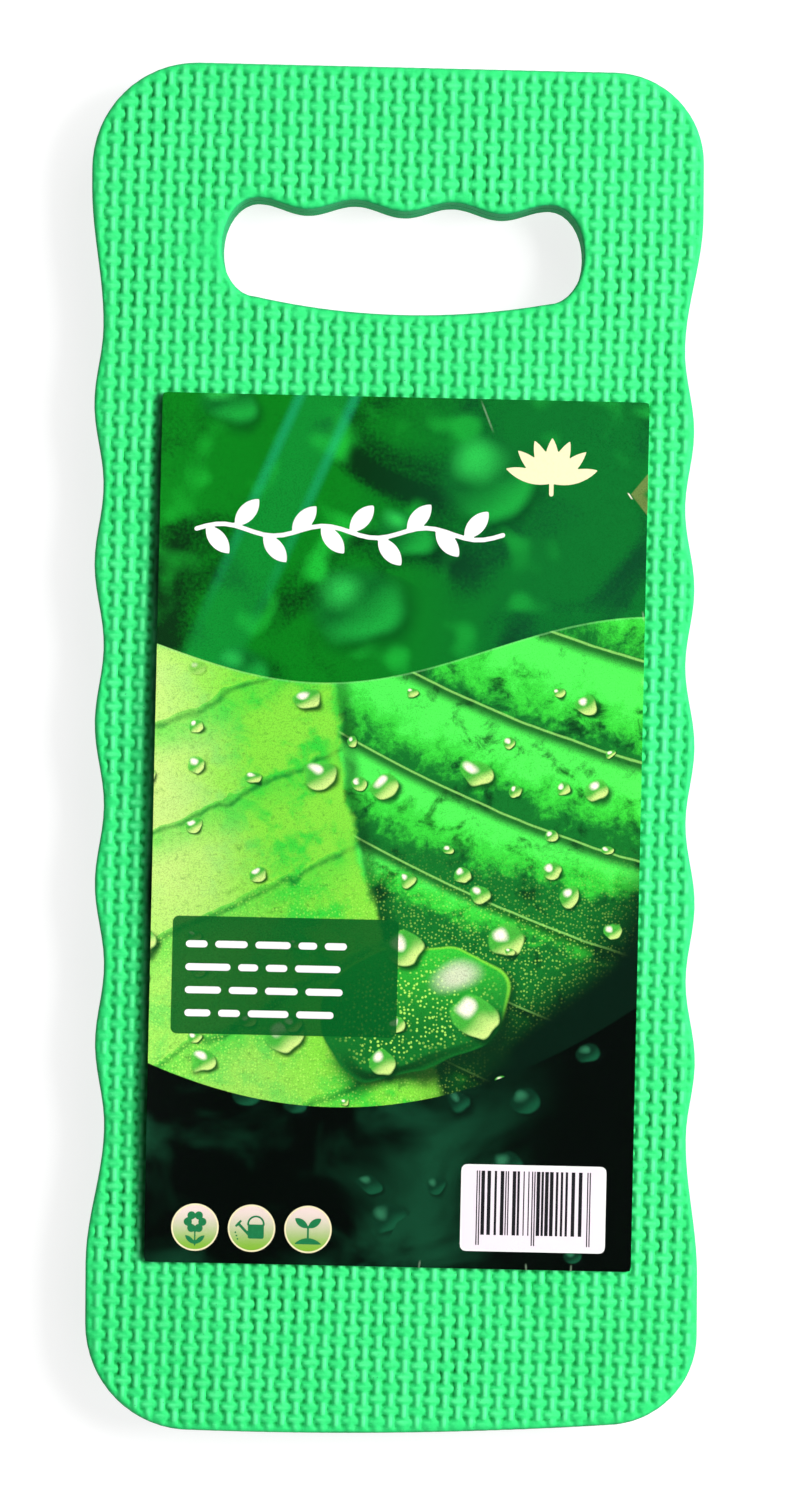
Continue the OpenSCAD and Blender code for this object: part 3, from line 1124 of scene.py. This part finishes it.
def print_label_graphics():
    """The crisp prints, each as thin ink on the paper."""
    cream = ink_finish("cream_ink", (0.78, 0.71, 0.44), (0.68, 0.62, 0.36))
    white = ink_finish("white_ink", (0.82, 0.80, 0.80), (0.74, 0.74, 0.72))
    green = ink_finish("dark_green_ink", (0.006, 0.16, 0.050), (0.012, 0.22, 0.070))
    black = ink_finish("black_ink", (0.004, 0.004, 0.006), (0.012, 0.014, 0.014))
    blush = ink_finish("panel_white_ink", (0.78, 0.69, 0.76), (0.72, 0.66, 0.70))
    face_greens = ((0.74, 0.60, 0.56), (0.20, 0.42, 0.03))
    face = shaded_ink_finish("pictogram_face_ink", *face_greens, PICTOGRAM_ROW, 6.0)

    middle = (PICTOGRAM_CENTRES[1], PICTOGRAM_ROW)
    row_length = PICTOGRAM_CENTRES[2] - PICTOGRAM_CENTRES[0]
    span = (row_length + 2 * PICTOGRAM_RADIUS + 1, 2 * PICTOGRAM_RADIUS + 1)
    centres = [(x, PICTOGRAM_ROW) for x in PICTOGRAM_CENTRES]
    rims = union(*[disc(centre, PICTOGRAM_RADIUS) for centre in centres])
    faces = union(*[disc(centre, PICTOGRAM_RADIUS - 0.45) for centre in centres])
    signs = union(*[sign(*centre) for sign, centre in zip((flower, watering_can, sprout), centres)])
    stamp("pictogram_rims", rims, middle, span, cell=0.5, layer=0, material=cream)
    stamp("pictogram_faces", faces, middle, span, cell=0.5, layer=1, material=face)
    stamp("pictogram_signs", signs, middle, span, cell=0.22, layer=2, material=green)

    panel_box = [length + 1 for length in BARCODE_SIZE]
    inner_size = [length - 0.9 for length in BARCODE_SIZE]
    outer = rounded_box(BARCODE_CENTRE, BARCODE_SIZE, 1.6)
    inner = rounded_box(BARCODE_CENTRE, inner_size, 1.2)
    stamp("barcode_panel_rim", outer, BARCODE_CENTRE, panel_box, cell=0.8, layer=0, material=white)
    stamp("barcode_panel", inner, BARCODE_CENTRE, panel_box, cell=0.8, layer=1, material=blush)
    rows_of_bars("barcode_bars", plain_bars(), 2, black)

    title = vine(*VINE_ENDS, VINE_ROW)
    dashes = dashed_lines(*DASH_ENDS, DASH_ROWS)
    stamp("title_vine", title, *VINE_BOX, cell=0.35, layer=0, material=white)
    stamp("sprig_emblem", sprig(*SPRIG_CENTRE), *SPRIG_BOX, cell=0.3, layer=0, material=cream)
    stamp("panel_dashes", dashes, *DASH_BOX, cell=0.4, layer=0, material=white)


# ---- Studio ----


def add_camera():
    data = bpy.data.cameras.new("camera")
    data.sensor_width = SENSOR
    data.lens = SENSOR * CAMERA_DISTANCE / PICTURE_HEIGHT
    camera = bpy.data.objects.new("camera", data)
    camera.location = (0, 0, CREST + CAMERA_DISTANCE)
    camera.rotation_euler = (0, 0, CAMERA_ROLL)
    bpy.context.scene.collection.objects.link(camera)
    bpy.context.scene.camera = camera


def add_light(name, azimuth, tilt, distance, size, power):
    """An area light that looks at the pad from an azimuth, tilted away from straight overhead."""
    data = bpy.data.lights.new(name, "AREA")
    data.size = size
    data.energy = power
    light = bpy.data.objects.new(name, data)
    turn, lean = math.radians(azimuth), math.radians(tilt)
    direction = Vector((math.cos(turn) * math.sin(lean), math.sin(turn) * math.sin(lean), math.cos(lean)))
    light.location = direction * distance
    light.rotation_euler = direction.to_track_quat("Z", "Y").to_euler()
    bpy.context.scene.collection.objects.link(light)


def add_studio():
    floor_finish = Finish("pale_floor", roughness=0.9, specular=0.1)
    tone = floor_finish.noise(floor_finish.place(), 0.3)
    material = floor_finish.show(floor_finish.blend((0.28, 0.28, 0.28), (0.26, 0.26, 0.26), tone))
    feed(floor_finish.shader.inputs["Emission Color"], (1, 1, 1))
    feed(floor_finish.shader.inputs["Emission Strength"], 0.80)
    mesh = bpy.data.meshes.new("floor")
    corners = [(-1, -1), (1, -1), (1, 1), (-1, 1)]
    vertices = [(x * FLOOR_REACH, y * FLOOR_REACH, -FLOOR_GAP) for x, y in corners]
    mesh.from_pydata(vertices, [], [(0, 1, 2, 3)])
    mesh.materials.append(material)
    floor = bpy.data.objects.new("floor", mesh)
    bpy.context.scene.collection.objects.link(floor)

    add_surroundings()
    add_light("key", azimuth=10, tilt=52, distance=1.7, size=0.8, power=42)
    add_light("fill_far", azimuth=48, tilt=55, distance=1.9, size=1.5, power=19)
    add_light("fill_near", azimuth=-48, tilt=55, distance=1.9, size=1.5, power=8)
    bpy.context.scene.view_settings.view_transform = "Standard"


def add_surroundings():
    """Soft white walls all round, and a dark ceiling that keeps the label's blacks black."""
    world = bpy.data.worlds.new("studio")
    bpy.context.scene.world = world
    world.use_nodes = True
    tree = world.node_tree
    place = add_node(tree, "ShaderNodeTexCoord").outputs["Generated"]
    height = Field(add_node(tree, "ShaderNodeSeparateXYZ", {0: place}).outputs["Z"])
    background = tree.nodes["Background"]
    feed(background.inputs["Color"], (1, 1, 1))
    feed(background.inputs["Strength"], 0.4 - 0.34 * height.rise(0.6, 0.95))


# ---- The pad ----

add_camera()
add_studio()

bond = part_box("top_foam_sheet")[0].z
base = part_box("bottom_foam_sheet")[0].z
top_material = foam_finish("green_foam_top", *TOP_GREENS)
bottom_material = foam_finish("green_foam_bottom", *BOTTOM_GREENS)
foam_top = foam_sheet("top_foam_sheet", CREST, bond, TOP_SAMPLES, top_material)
foam_bottom = foam_sheet("bottom_foam_sheet", base, bond, BOTTOM_SAMPLES, bottom_material)

label_layer("label_glue", "label_adhesive", adhesive_finish(), inset=ADHESIVE_INSET)
label_layer("label_sheet", "label_paper", label_finish())
label_layer("label_gloss", "label_film", film_finish(), raise_by=FILM_RAISE, thickness=FILM_THICKNESS)
print_label_graphics()
